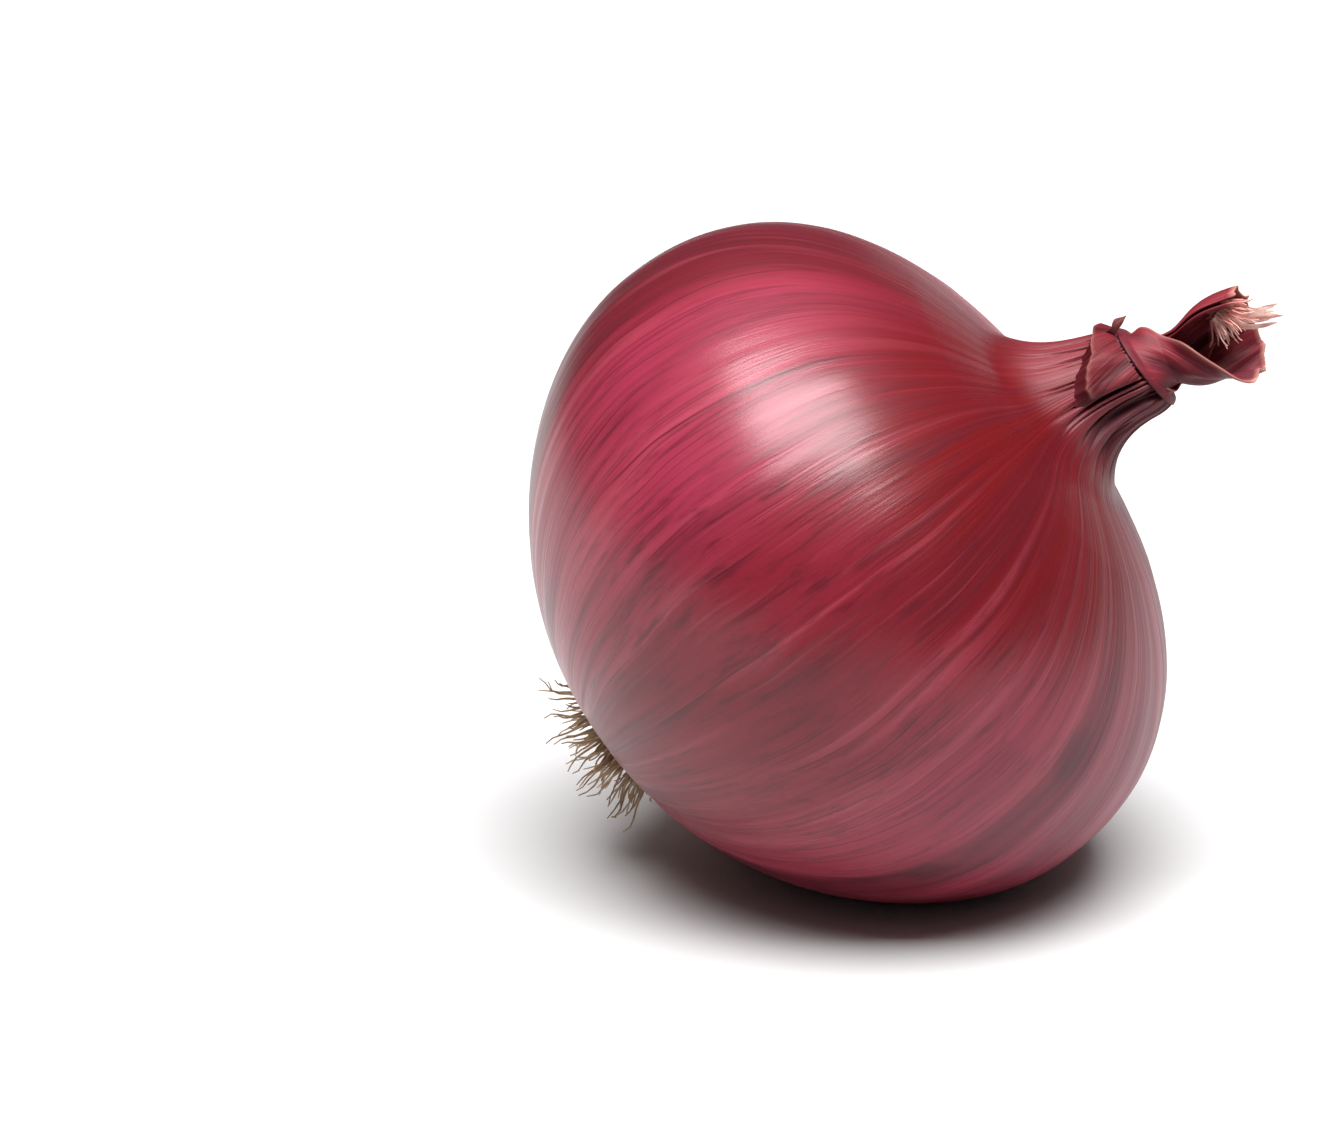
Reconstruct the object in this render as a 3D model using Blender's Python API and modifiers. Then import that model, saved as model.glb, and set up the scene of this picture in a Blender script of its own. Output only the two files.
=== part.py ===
"""A whole red onion with its dry skin on, lying on one cheek with its neck in the air.

Metres, +Z up. The origin is the middle of the small flat spot that the onion rests on, and the
neck points to +X and up. Each piece is modelled upright about the onion's own axis, root down at
-Z and neck up at +Z with the widest section at Z = 0, and the empty "as_it_lies" leans them all.
"""

import math

import bmesh
import bpy
from mathutils import Matrix, Vector

# How it lies
LEAN_DEG = 38.8  # the axis above the horizontal
FLAT_DEPTH = 0.0019  # how far the cheek is pressed in where it rests

# The swollen bulb
BULB_RADIUS = 0.0400
ROOT_DEPTH = 0.0334  # from the widest section to the root end
CROWN_HEIGHT = 0.0283  # from the widest section to the top of the shoulder
ROOT_SQUARENESS = 1.84  # exponent of the superellipse below the widest section
CROWN_SQUARENESS = 2.33  # and above it
LOBES = ((2, 0.006, 3.14), (3, 0.003, 2.1), (5, 0.002, 4.0))  # count, share of the radius, phase
DIMPLE_RADIUS = 0.0085
DIMPLE_DEPTH = 0.0022

# The neck that the skin draws up into
NECK_BASE_RADIUS = 0.0108  # where it leaves the shoulder
NECK_TOP_RADIUS = 0.0051  # where it runs straight
NECK_FLARE = 0.0036  # the length over which it narrows
NECK_LENGTH = 0.0115
NECK_SWAY = 0.0021  # how far its end has sagged to the low side
PINCH_RADIUS = 0.0040  # where the leaves are twisted tight
PINCH_LENGTH = 0.0026  # the length over which the neck closes on it
PLEATS = 12
PLEAT_DEPTH = 0.06  # share of the neck's radius

# The root plate and its dry roots
PLATE_RADIUS = 0.0066
PLATE_SEAT = 0.0016  # how deep it sits in the dimple
PLATE_RISE = 0.0012  # how far its middle stands proud
ROOTS = 28
ROOT_RADIUS = 0.00045
ROOT_LENGTH = 0.0068
ROOT_EMBED = 0.0006
ROOT_KNOTS = 6
ROOT_SPREAD = 0.72  # share of the plate's radius that the roots grow from

# The withered leaves beyond the pinch, twisted and then open like a horn
LEAF_LENGTH = 0.0112  # to the longest lip of the mouth
LEAF_STRAIGHT = 0.0030  # how far the neck's own direction carries on
LEAF_DROP_DEG = 24.0  # how far the horn then bends down
WAIST_RADIUS = 0.0031
WAIST_AT = 0.0032  # from the pinch
MOUTH_RADIUS = 0.0045
LEAF_WALL = 0.0007
MOUTH_DEPTH = 0.0062
LEAF_TWIST_DEG = 110.0  # from the pinch to the mouth
LEAF_FOLDS = 3
FOLD_DEPTH = 0.10  # share of the radius
MOUTH_SLANT = 0.0050  # how much shorter the opposite lip is
LONG_LIP_DEG = 60.0  # from the low side
RAGGED = 0.0006

# Fit between pieces, and the fineness of the surfaces
CLEARANCE = 0.0003
TURN_STEPS = 72
BODY_POINTS = 16
NECK_POINTS = 10
LEAF_SIDES = 30
LEAF_RINGS = 12
HOLLOW_RINGS = 6
SHARP_DEG = 15.0

SKIN = ("onion_skin", (0.36, 0.035, 0.060, 1.0), 0.38)
DRY_LEAF = ("dry_leaf", (0.23, 0.030, 0.042, 1.0), 0.62)
DRY_ROOT = ("dry_root", (0.44, 0.31, 0.19, 1.0), 0.85)


def clear_scene():
    for obj in list(bpy.data.objects):
        bpy.data.objects.remove(obj)


def collection(name):
    made = bpy.data.collections.new(name)
    bpy.context.scene.collection.children.link(made)
    return made


def material(name, color, roughness):
    made = bpy.data.materials.new(name)
    made.use_nodes = True
    shader = made.node_tree.nodes["Principled BSDF"]
    shader.inputs["Base Color"].default_value = color
    shader.inputs["Roughness"].default_value = roughness
    shader.inputs["Metallic"].default_value = 0.0
    return made


def link(mesh, name, into):
    obj = bpy.data.objects.new(name, mesh)
    into.objects.link(obj)
    return obj


def settled(obj):
    """The object's evaluated shape as a plain mesh with its doubles welded."""
    bpy.context.view_layer.update()
    graph = bpy.context.evaluated_depsgraph_get()
    mesh = bpy.data.meshes.new_from_object(obj.evaluated_get(graph))
    welded = bmesh.new()
    welded.from_mesh(mesh)
    bmesh.ops.remove_doubles(welded, verts=welded.verts, dist=1e-6)
    bmesh.ops.recalc_face_normals(welded, faces=welded.faces)
    welded.to_mesh(mesh)
    welded.free()
    return mesh


def bake(obj):
    """Replaces the object's mesh and modifiers with the shape that they make."""
    mesh = settled(obj)
    obj.modifiers.clear()
    obj.data = mesh


def turned(profile, workshop):
    """A closed mesh from (radius, height) points that run down the outer side."""
    mesh = bpy.data.meshes.new("profile")
    edges = [(i, i + 1) for i in range(len(profile) - 1)]
    mesh.from_pydata([(r, 0.0, h) for r, h in profile], edges, [])
    blank = link(mesh, "turning_blank", workshop)
    screw = blank.modifiers.new("turn", "SCREW")
    screw.axis = "Z"
    screw.steps = screw.render_steps = TURN_STEPS
    screw.use_merge_vertices = True
    screw.merge_threshold = 1e-6
    made = settled(blank)
    bpy.data.objects.remove(blank)
    return made


def superellipse(quarter, depth, squareness):
    """(radius, distance from the widest section) at an angle of 0 to 90 degrees."""
    power = 2.0 / squareness
    return BULB_RADIUS * math.cos(quarter) ** power, depth * math.sin(quarter) ** power


def neck_radius(height):
    flare = math.exp(-(height - CROWN_HEIGHT) / NECK_FLARE)
    return NECK_TOP_RADIUS + (NECK_BASE_RADIUS - NECK_TOP_RADIUS) * flare


def closing_radius(height):
    """The neck's radius with its end drawn in to the pinch."""
    shut = max(0.0, 1 - (pinch_height() - height) / PINCH_LENGTH)
    share = math.sqrt(max(0.0, 1 - shut**2))
    return PINCH_RADIUS + (neck_radius(height) - PINCH_RADIUS) * share


def blended(shoulder, neck):
    """The larger of two radii, rounded where they cross."""
    power = 9
    return (shoulder**power + neck**power) ** (1 / power)


def dimple(radius):
    return DIMPLE_DEPTH * math.exp(-((radius / DIMPLE_RADIUS) ** 2))


def root_end_height(radius):
    """Height of the root end's surface, dimple included."""
    quarter = math.acos((radius / BULB_RADIUS) ** (ROOT_SQUARENESS / 2))
    return dimple(radius) - superellipse(quarter, ROOT_DEPTH, ROOT_SQUARENESS)[1]


def pinch_height():
    return CROWN_HEIGHT + NECK_LENGTH


def bulb_profile():
    """(radius, height) from the neck's end, down over the shoulder, to the root plate's seat."""
    points = [(0.0, pinch_height())]
    for i in range(NECK_POINTS):
        height = CROWN_HEIGHT + NECK_LENGTH * math.cos(math.pi / 2 * i / NECK_POINTS)
        points.append((closing_radius(height), height))
    for i in range(BODY_POINTS):
        quarter = math.pi / 2 * (1 - i / BODY_POINTS)
        shoulder, height = superellipse(quarter, CROWN_HEIGHT, CROWN_SQUARENESS)
        points.append((blended(shoulder, min(neck_radius(height), NECK_BASE_RADIUS * 1.6)), height))
    seat_radius = PLATE_RADIUS + CLEARANCE
    last = math.acos((seat_radius / BULB_RADIUS) ** (ROOT_SQUARENESS / 2))
    for i in range(BODY_POINTS + 1):
        radius, depth = superellipse(last * i / BODY_POINTS, ROOT_DEPTH, ROOT_SQUARENESS)
        points.append((radius, dimple(radius) - depth))
    seat_floor = root_end_height(seat_radius) + PLATE_SEAT
    return points + [(seat_radius, seat_floor), (0.0, seat_floor)]


def sway(height):
    """How far the neck's middle hangs to the low side at this height."""
    return NECK_SWAY * max(0.0, (height - CROWN_HEIGHT) / NECK_LENGTH) ** 2


def grow_uneven(mesh):
    """Gives the turned bulb its slight lobes and gathers the neck's skin into pleats."""
    for vertex in mesh.vertices:
        x, y, height = vertex.co
        angle = math.atan2(y, x)
        lobes = sum(share * math.cos(n * angle + phase) for n, share, phase in LOBES)
        up_neck = max(0.0, min(1.0, (height - CROWN_HEIGHT) / NECK_LENGTH))
        waist = math.cos(math.pi / 2 * min(1.0, abs(height) / ROOT_DEPTH))
        pleats = PLEAT_DEPTH * up_neck * math.cos(PLEATS * angle + 3.0 * up_neck)
        scale = 1 + lobes * waist + pleats
        vertex.co = (x * scale + sway(height), y * scale, height)


def as_it_lies(mesh):
    """The matrix that leans the upright onion and sets its pressed cheek on Z = 0."""
    lean = Matrix.Rotation(math.radians(90 - LEAN_DEG), 4, "Y")
    leaned = [lean @ vertex.co for vertex in mesh.vertices]
    floor = min(point.z for point in leaned) + FLAT_DEPTH
    cut = []
    for edge in mesh.edges:
        above, below = sorted((leaned[i] for i in edge.vertices), key=lambda point: -point.z)
        if above.z > floor >= below.z:
            cut.append(above.lerp(below, (above.z - floor) / (above.z - below.z)))
    middle = [(min(axis) + max(axis)) / 2 for axis in zip(*cut)]
    return Matrix.Translation((-middle[0], -middle[1], -floor)) @ lean


def press_flat(obj, cutters):
    """Cuts away what the leaned bulb has below the surface that it rests on."""
    size = 4 * BULB_RADIUS
    block = bmesh.new()
    bmesh.ops.create_cube(block, size=size)
    mesh = bpy.data.meshes.new("table")
    block.to_mesh(mesh)
    block.free()
    table = link(mesh, "table", cutters)
    table.location.z = -size / 2
    table.hide_render = True
    table.display_type = "WIRE"
    press = obj.modifiers.new("press", "BOOLEAN")
    press.operation = "DIFFERENCE"
    press.solver = "EXACT"
    press.object = table
    bake(obj)


def grow_roots(obj, start_height, pose, cutters):
    """Joins the dry roots to the root plate."""
    roots = link(roots_mesh(start_height, cutters), "roots", cutters)
    roots.parent = pose
    roots.hide_render = True
    roots.display_type = "WIRE"
    grow = obj.modifiers.new("grow", "BOOLEAN")
    grow.operation = "UNION"
    grow.solver = "EXACT"
    grow.use_self = True
    grow.object = roots
    bake(obj)


def plate_profile():
    """(radius, height) of the root plate, from its face in the seat, round its rim, to its middle."""
    seat = root_end_height(PLATE_RADIUS + CLEARANCE) + PLATE_SEAT - CLEARANCE
    rim = seat - PLATE_SEAT + 2 * CLEARANCE
    middle = rim - PLATE_RISE
    points = [(0.0, seat), (PLATE_RADIUS, seat), (PLATE_RADIUS, rim)]
    for i in range(1, 5):
        turn = math.pi / 2 * i / 5
        points.append((PLATE_RADIUS * math.cos(turn), rim + (middle - rim) * math.sin(turn)))
    return points + [(0.0, middle)]


def root_line(index, start_height):
    """Centreline of one dry root, which grows down from the plate and wanders outwards."""
    golden = math.pi * (3 - math.sqrt(5))
    share = math.sqrt((index + 0.5) / ROOTS)
    angle = index * golden
    start = PLATE_RADIUS * ROOT_SPREAD * share
    length = ROOT_LENGTH * (0.65 + 0.35 * math.cos(index * 2.4))
    points = []
    for knot in range(ROOT_KNOTS):
        along = knot / (ROOT_KNOTS - 1)
        lean = 0.9 * share * along**1.5 + 0.12 * math.sin(5 * along + index)
        turn = angle + 0.35 * math.sin(3 * along + 1.7 * index)
        radius = start + length * lean * 0.6
        height = start_height + ROOT_EMBED - (length + ROOT_EMBED) * along
        points.append((radius * math.cos(turn), radius * math.sin(turn), height))
    return points


def roots_mesh(start_height, workshop):
    """All the dry roots as one mesh of tapering tubes."""
    curve = bpy.data.curves.new("roots", "CURVE")
    curve.dimensions = "3D"
    curve.bevel_depth = ROOT_RADIUS
    curve.bevel_resolution = 1
    curve.use_fill_caps = True
    for index in range(ROOTS):
        spline = curve.splines.new("POLY")
        line = root_line(index, start_height)
        spline.points.add(len(line) - 1)
        for knot, (point, place) in enumerate(zip(spline.points, line)):
            point.co = (*place, 1.0)
            point.radius = 1.0 - 0.45 * knot / (len(line) - 1)
    blank = link(curve, "roots_blank", workshop)
    made = settled(blank)
    bpy.data.objects.remove(blank)
    return made


def leaf_axis(along):
    """(point, direction) on the horn's bent centreline, along from 0 at the pinch to 1."""
    drop = math.radians(LEAF_DROP_DEG)
    start = Vector((sway(pinch_height()), 0.0, pinch_height() + CLEARANCE))
    knee = start + Vector((0.0, 0.0, LEAF_STRAIGHT))
    end = knee + Vector((math.sin(drop), 0.0, math.cos(drop))) * (LEAF_LENGTH - LEAF_STRAIGHT)
    point = start * (1 - along) ** 2 + knee * 2 * along * (1 - along) + end * along**2
    direction = (knee - start) * (1 - along) + (end - knee) * along
    return point, direction.normalized()


def horn_radius(along):
    """Outer radius of the twisted leaves: tight at the pinch, then opening to the mouth."""
    waist = WAIST_AT / LEAF_LENGTH
    if along < waist:
        return WAIST_RADIUS + (PINCH_RADIUS - WAIST_RADIUS) * (1 - along / waist) ** 2
    opening = (along - waist) / (1 - waist)
    return WAIST_RADIUS + (MOUTH_RADIUS - WAIST_RADIUS) * math.sin(math.pi / 2 * opening)


def horn_ring(along, radius, slant):
    """One folded, twisted ring of the horn; slant is the share of the mouth's slope and tears."""
    centre, direction = leaf_axis(along)
    low = Vector((0.0, 1.0, 0.0)).cross(direction).normalized()
    side = direction.cross(low)
    ring = []
    for i in range(LEAF_SIDES):
        angle = 2 * math.pi * i / LEAF_SIDES
        turned_by = LEAF_FOLDS * (angle - math.radians(LEAF_TWIST_DEG) * along)
        reach = radius * (1 + FOLD_DEPTH * math.cos(turned_by))
        set_back = MOUTH_SLANT * 0.5 * (math.cos(angle - math.radians(LONG_LIP_DEG)) - 1)
        torn = RAGGED * (math.sin(5 * angle) + 0.6 * math.sin(11 * angle + 1.3))
        outwards = low * math.cos(angle) + side * math.sin(angle)
        ring.append(centre + outwards * reach + direction * slant * (set_back + torn))
    return ring


def lofted(rings):
    """A closed mesh through rings of equally many points, its two ends capped."""
    shell = bmesh.new()
    rows = [[shell.verts.new(point) for point in ring] for ring in rings]
    count = len(rings[0])
    for lower, upper in zip(rows, rows[1:]):
        for i in range(count):
            j = (i + 1) % count
            shell.faces.new((lower[i], lower[j], upper[j], upper[i]))
    for row in (rows[0], rows[-1]):
        middle = sum((vertex.co for vertex in row), Vector()) / count
        hub = shell.verts.new(middle)
        for i in range(count):
            shell.faces.new((row[i], row[(i + 1) % count], hub))
    bmesh.ops.recalc_face_normals(shell, faces=shell.faces)
    mesh = bpy.data.meshes.new("horn")
    shell.to_mesh(mesh)
    shell.free()
    return mesh


def horn_mesh():
    """The twisted leaves as a horn with a hollow, slanting, torn mouth."""
    outer = []
    for i in range(LEAF_RINGS + 1):
        along = i / LEAF_RINGS
        outer.append(horn_ring(along, horn_radius(along), along**3))
    inner = []
    for i in range(HOLLOW_RINGS + 1):
        share = i / HOLLOW_RINGS
        along = 1 - share * MOUTH_DEPTH / LEAF_LENGTH
        radius = (horn_radius(along) - LEAF_WALL) * math.cos(math.pi / 2 * share * 0.85)
        inner.append(horn_ring(along, radius, along**3))
    return lofted(outer + inner)


def finish(obj, look):
    """Gives the piece its material, and shades it smooth but for its sharp edges."""
    obj.data.materials.clear()
    obj.data.materials.append(material(*look))
    obj.data.shade_smooth()
    obj.data.set_sharp_from_angle(angle=math.radians(SHARP_DEG))


def main():
    clear_scene()
    onion = collection("onion")
    cutters = collection("cutters")
    cutters.hide_render = True

    bulb_mesh = turned(bulb_profile(), cutters)
    grow_uneven(bulb_mesh)
    pose = bpy.data.objects.new("as_it_lies", None)
    pose.matrix_world = as_it_lies(bulb_mesh)
    onion.objects.link(pose)

    bulb = link(bulb_mesh, "bulb", onion)
    bulb.parent = pose
    press_flat(bulb, cutters)
    finish(bulb, SKIN)

    plate = plate_profile()
    root_tuft = link(turned(plate, cutters), "root_tuft", onion)
    root_tuft.parent = pose
    grow_roots(root_tuft, plate[-1][1] + PLATE_RISE * 0.4, pose, cutters)
    finish(root_tuft, DRY_ROOT)

    withered_leaves = link(horn_mesh(), "withered_leaves", onion)
    withered_leaves.parent = pose
    finish(withered_leaves, DRY_LEAF)


main()
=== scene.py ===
"""The looks of a whole red onion in its dry skin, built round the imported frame.

Every piece is modelled upright about the onion's own axis, root down at -Z, neck up at +Z and the
widest section at Z = 0, and is then laid down the way the frame's bulb lies. Lengths are in metres.
"""

import logging
import math
from dataclasses import dataclass
from enum import Enum
from typing import Any, Callable, Sequence, Union

import bmesh
import bpy
import numpy as np
from bpy.types import Material, Mesh, Node, NodeSocket, Object
from mathutils import Matrix, Vector

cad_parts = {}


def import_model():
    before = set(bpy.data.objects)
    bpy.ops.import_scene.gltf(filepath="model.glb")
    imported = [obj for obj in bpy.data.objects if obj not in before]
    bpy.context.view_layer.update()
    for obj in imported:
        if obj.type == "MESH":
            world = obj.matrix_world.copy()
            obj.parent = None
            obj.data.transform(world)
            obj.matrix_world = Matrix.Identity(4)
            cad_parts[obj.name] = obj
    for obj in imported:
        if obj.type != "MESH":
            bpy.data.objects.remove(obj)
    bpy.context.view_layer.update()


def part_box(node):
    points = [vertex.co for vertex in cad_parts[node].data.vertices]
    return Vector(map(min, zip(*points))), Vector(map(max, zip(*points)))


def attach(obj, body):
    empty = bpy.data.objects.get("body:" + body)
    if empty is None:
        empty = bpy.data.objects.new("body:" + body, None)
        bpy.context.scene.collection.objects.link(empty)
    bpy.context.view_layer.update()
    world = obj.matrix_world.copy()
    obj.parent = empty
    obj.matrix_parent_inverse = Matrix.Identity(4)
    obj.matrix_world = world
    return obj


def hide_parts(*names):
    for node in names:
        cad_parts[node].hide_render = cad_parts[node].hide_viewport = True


log = logging.getLogger("onion")

BODY = "root"
TURN = 2 * math.pi
Colour = tuple[float, float, float, float]


class Slot(Enum):
    """The record's material slots."""

    SKIN = "onion_skin"
    LEAF = "dry_leaf"
    ROOT = "dry_root"


Feed = Union["Wire", NodeSocket, float, int, bool, str, Sequence[float], bpy.types.ID]
Settings = Union[dict[str, Any], None]
Sockets = Union[dict[Union[str, int], Feed], None]


# ---- Node trees written as Python expressions ----


def operator(operation: str, reflected: bool = False) -> Callable[["Wire", Feed], "Wire"]:
    """A Python operator that adds the node for its step of arithmetic.

    Args:
        operation: The Math node's operation.
        reflected: Whether the wire stands on the right of the sign.

    Returns:
        A method for the Wire class.
    """

    def step(wire: "Wire", other: Feed) -> "Wire":
        """The step, with its two values in the order that they are written."""
        return wire.graph.join(operation, *((other, wire) if reflected else (wire, other)))

    return step


class Wire:
    """A node's output that takes part in Python arithmetic, as a number or as a vector."""

    __add__, __radd__ = operator("ADD"), operator("ADD", True)
    __sub__, __rsub__ = operator("SUBTRACT"), operator("SUBTRACT", True)
    __mul__, __rmul__ = operator("MULTIPLY"), operator("MULTIPLY", True)
    __truediv__, __rtruediv__ = operator("DIVIDE"), operator("DIVIDE", True)
    __pow__, __gt__ = operator("POWER"), operator("GREATER_THAN")
    least, most = operator("MINIMUM"), operator("MAXIMUM")

    def __init__(self, graph: "Graph", socket: NodeSocket) -> None:
        """Keeps the socket and the graph that it belongs to."""
        self.graph = graph
        self.socket = socket

    def alone(self, operation: str) -> "Wire":
        """The result of a one-number operation, such as SINE or ABSOLUTE."""
        return self.graph.join(operation, self)

    def between(self) -> "Wire":
        """self held between 0 and 1."""
        return self.most(0.0).least(1.0)

    def ramp(self, low: float, high: float) -> "Wire":
        """A smooth step from 0 at low to 1 at high; low may be the greater of the two."""
        settings = {"interpolation_type": "SMOOTHSTEP"}
        sockets = {"Value": self, "From Min": low, "From Max": high}
        return Wire(self.graph, self.graph.node("ShaderNodeMapRange", settings, sockets).outputs[0])


class Graph:
    """Adds nodes to a shader tree or a geometry tree."""

    def __init__(self, tree: bpy.types.NodeTree) -> None:
        """Keeps the tree that the nodes go into."""
        self.tree = tree

    def node(self, kind: str, settings: Settings = None, sockets: Sockets = None) -> Node:
        """Adds one node.

        Args:
            kind: The node's type name.
            settings: Its properties, set first.
            sockets: Values or links for its inputs, by name, identifier or number.

        Returns:
            The new node.
        """
        made = self.tree.nodes.new(kind)
        for name, value in (settings or {}).items():
            setattr(made, name, value)
        for key, feed in (sockets or {}).items():
            self.feed(self._input(made, key), feed)
        return made

    def wire(
        self, kind: str, settings: Settings = None, sockets: Sockets = None, out: str | int = 0
    ) -> Wire:
        """Adds one node and returns one of its outputs.

        Args:
            kind: The node's type name.
            settings: Its properties.
            sockets: Values or links for its inputs.
            out: The output's name, identifier or number.

        Returns:
            The output, ready for arithmetic.
        """
        made = self.node(kind, settings, sockets)
        usable = [s for s in made.outputs if s.enabled]
        if isinstance(out, int):
            return Wire(self, usable[out])
        return Wire(self, [s for s in usable if out in (s.identifier, s.name)][0])

    def join(self, operation: str, *values: Feed) -> Wire:
        """One step of arithmetic: a Math node, or a Vector Math node if any value is a vector."""
        kinds = {v.socket.type for v in values if isinstance(v, Wire)}
        vector = not kinds.isdisjoint({"VECTOR", "RGBA"})
        kind = "ShaderNodeVectorMath" if vector else "ShaderNodeMath"
        if vector:
            values = tuple((v, v, v) if isinstance(v, (int, float)) else v for v in values)
        return self.wire(kind, {"operation": operation}, dict(enumerate(values)))

    def vector(self, x: Feed, y: Feed, z: Feed) -> Wire:
        """A vector from three numbers."""
        return self.wire("ShaderNodeCombineXYZ", None, {0: x, 1: y, 2: z})

    def parts(self, vector: Wire) -> tuple[Wire, Wire, Wire]:
        """The three numbers of a vector."""
        x, y, z = self.node("ShaderNodeSeparateXYZ", None, {0: vector}).outputs
        return Wire(self, x), Wire(self, y), Wire(self, z)

    def noise(self, where: Wire, scale: Feed, detail: float = 2.0, roughness: float = 0.5) -> Wire:
        """Smooth noise about 0.5."""
        sockets = {"Vector": where, "Scale": scale, "Detail": detail, "Roughness": roughness}
        return self.wire("ShaderNodeTexNoise", {"noise_dimensions": "3D"}, sockets)

    def tint(self, factor: Feed, first: Feed, second: Feed) -> Wire:
        """A mix of two colours."""
        settings = {"data_type": "RGBA", "clamp_factor": True}
        sockets = {"Factor_Float": factor, "A_Color": first, "B_Color": second}
        return self.wire("ShaderNodeMix", settings, sockets, "Result_Color")

    def layered(self, base: Feed, *layers: tuple[Feed, Feed]) -> Feed:
        """A colour under other colours, each given with how far it covers those below it."""
        for cover, colour in layers:
            base = self.tint(cover, base, colour)
        return base

    def feed(self, socket: NodeSocket, feed: Feed) -> None:
        """Links a wire to the socket, or sets the socket's own value."""
        source = feed.socket if isinstance(feed, Wire) else feed
        if isinstance(source, NodeSocket):
            self.tree.links.new(source, socket)
        else:
            socket.default_value = feed

    def bump(self, height: Wire, strength: float, distance: float) -> Wire:
        """A surface's small relief, for a shader's Normal."""
        sockets = {"Strength": strength, "Distance": distance, "Height": height}
        return self.wire("ShaderNodeBump", None, sockets)

    def shade(self, sockets: Sockets) -> None:
        """Ends a material's tree with a Principled shader that has these values or links."""
        shader = self.node("ShaderNodeBsdfPrincipled", None, sockets)
        self.node("ShaderNodeOutputMaterial", None, {"Surface": shader.outputs[0]})

    def _input(self, node: Node, key: str | int) -> NodeSocket:
        """The node's input of that number, identifier or name."""
        if isinstance(key, int):
            return node.inputs[key]
        return [s for s in node.inputs if s.enabled and key in (s.identifier, s.name)][0]


class Recipe:
    """A geometry tree with named inputs, which ends in Realize Instances and Set Material."""

    def __init__(self, name: str) -> None:
        """Starts an empty tree."""
        self.tree = bpy.data.node_groups.new(name, "GeometryNodeTree")
        sockets = self.tree.interface
        sockets.new_socket("Geometry", in_out="OUTPUT", socket_type="NodeSocketGeometry")
        self.graph = Graph(self.tree)
        self.entry = self.tree.nodes.new("NodeGroupInput")
        self.values: dict[str, float] = {}

    def sizes(self, owner: Any, *fields: str) -> list[Wire]:
        """Adds a named input for each of these fields of a sub-assembly.

        Args:
            owner: The sub-assembly, whose values the modifier is set to.
            fields: The names of its fields.

        Returns:
            The inputs as wires, in the same order.
        """
        found = []
        for field in fields:
            value = getattr(owner, field)
            kind = "NodeSocketInt" if isinstance(value, int) else "NodeSocketFloat"
            name = field.replace("_", " ").title()
            item = self.tree.interface.new_socket(name, in_out="INPUT", socket_type=kind)
            self.values[item.identifier] = value
            outputs = self.entry.outputs
            found += [Wire(self.graph, s) for s in outputs if s.identifier == item.identifier]
        return found

    def keep(self, geometry: Wire, name: str, value: Wire, vector: bool = False) -> Wire:
        """Stores a named attribute on the points."""
        settings = {"data_type": "FLOAT_VECTOR" if vector else "FLOAT", "domain": "POINT"}
        sockets = {"Geometry": geometry, "Name": name, "Value": value}
        return self.graph.wire("GeometryNodeStoreNamedAttribute", settings, sockets)

    def recall(self, name: str, vector: bool = False) -> Wire:
        """Reads a named attribute."""
        settings = {"data_type": "FLOAT_VECTOR" if vector else "FLOAT"}
        return self.graph.wire("GeometryNodeInputNamedAttribute", settings, {"Name": name})

    def move(self, geometry: Wire, **sockets: Feed) -> Wire:
        """Sets positions, by Position or by Offset."""
        return self.graph.wire("GeometryNodeSetPosition", None, {"Geometry": geometry, **sockets})

    def build(self, name: str, geometry: Wire, look: Material) -> Mesh:
        """Ends the tree, runs it and returns the result as a plain mesh.

        Args:
            name: The mesh's name.
            geometry: What the tree has made.
            look: The material that the whole result takes.

        Returns:
            The finished mesh.
        """
        real = self.graph.wire("GeometryNodeRealizeInstances", None, {0: geometry})
        sockets = {"Geometry": real, "Material": look}
        dressed = self.graph.wire("GeometryNodeSetMaterial", None, sockets)
        self.graph.node("NodeGroupOutput", None, {0: dressed})
        maker = placed(name + "_maker", bpy.data.meshes.new(name + "_seed"))
        modifier = maker.modifiers.new("recipe", "NODES")
        modifier.node_group = self.tree
        for identifier, value in self.values.items():
            modifier[identifier] = value
        mesh = plain_mesh(maker)
        mesh.name = name
        return mesh


# ---- Meshes and pieces ----


def placed(name: str, data: bpy.types.ID) -> Object:
    """A new object in the scene, at the origin."""
    made = bpy.data.objects.new(name, data)
    bpy.context.scene.collection.objects.link(made)
    return made


def plain_mesh(maker: Object) -> Mesh:
    """The object's evaluated shape as a plain mesh. The object is removed."""
    bpy.context.view_layer.update()
    graph = bpy.context.evaluated_depsgraph_get()
    mesh = bpy.data.meshes.new_from_object(maker.evaluated_get(graph))
    maker.modifiers.clear()
    bpy.data.objects.remove(maker)
    return mesh


def tidy(mesh: Mesh, merge: float = 1e-6) -> Mesh:
    """Merges doubled points, turns the faces outwards and shades them smooth."""
    shape = bmesh.new()
    shape.from_mesh(mesh)
    bmesh.ops.remove_doubles(shape, verts=shape.verts, dist=merge)
    bmesh.ops.dissolve_degenerate(shape, edges=shape.edges, dist=1e-8)
    bmesh.ops.recalc_face_normals(shape, faces=shape.faces)
    shape.to_mesh(mesh)
    shape.free()
    mesh.shade_smooth()
    return mesh


def points_of(mesh: Mesh) -> np.ndarray:
    """The mesh's points as an array of rows."""
    flat = np.empty(len(mesh.vertices) * 3, np.float32)
    mesh.vertices.foreach_get("co", flat)
    return flat.reshape(-1, 3).astype(float)


def set_points(mesh: Mesh, points: np.ndarray) -> None:
    """Moves the mesh's points."""
    mesh.vertices.foreach_set("co", points.astype(np.float32).ravel())
    mesh.update()


def note(mesh: Mesh, name: str, values: np.ndarray) -> None:
    """Stores a number or a vector for each point under a name."""
    vector = values.ndim == 2
    made = mesh.attributes.new(name, "FLOAT_VECTOR" if vector else "FLOAT", "POINT")
    made.data.foreach_set("vector" if vector else "value", values.astype(np.float32).ravel())


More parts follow.
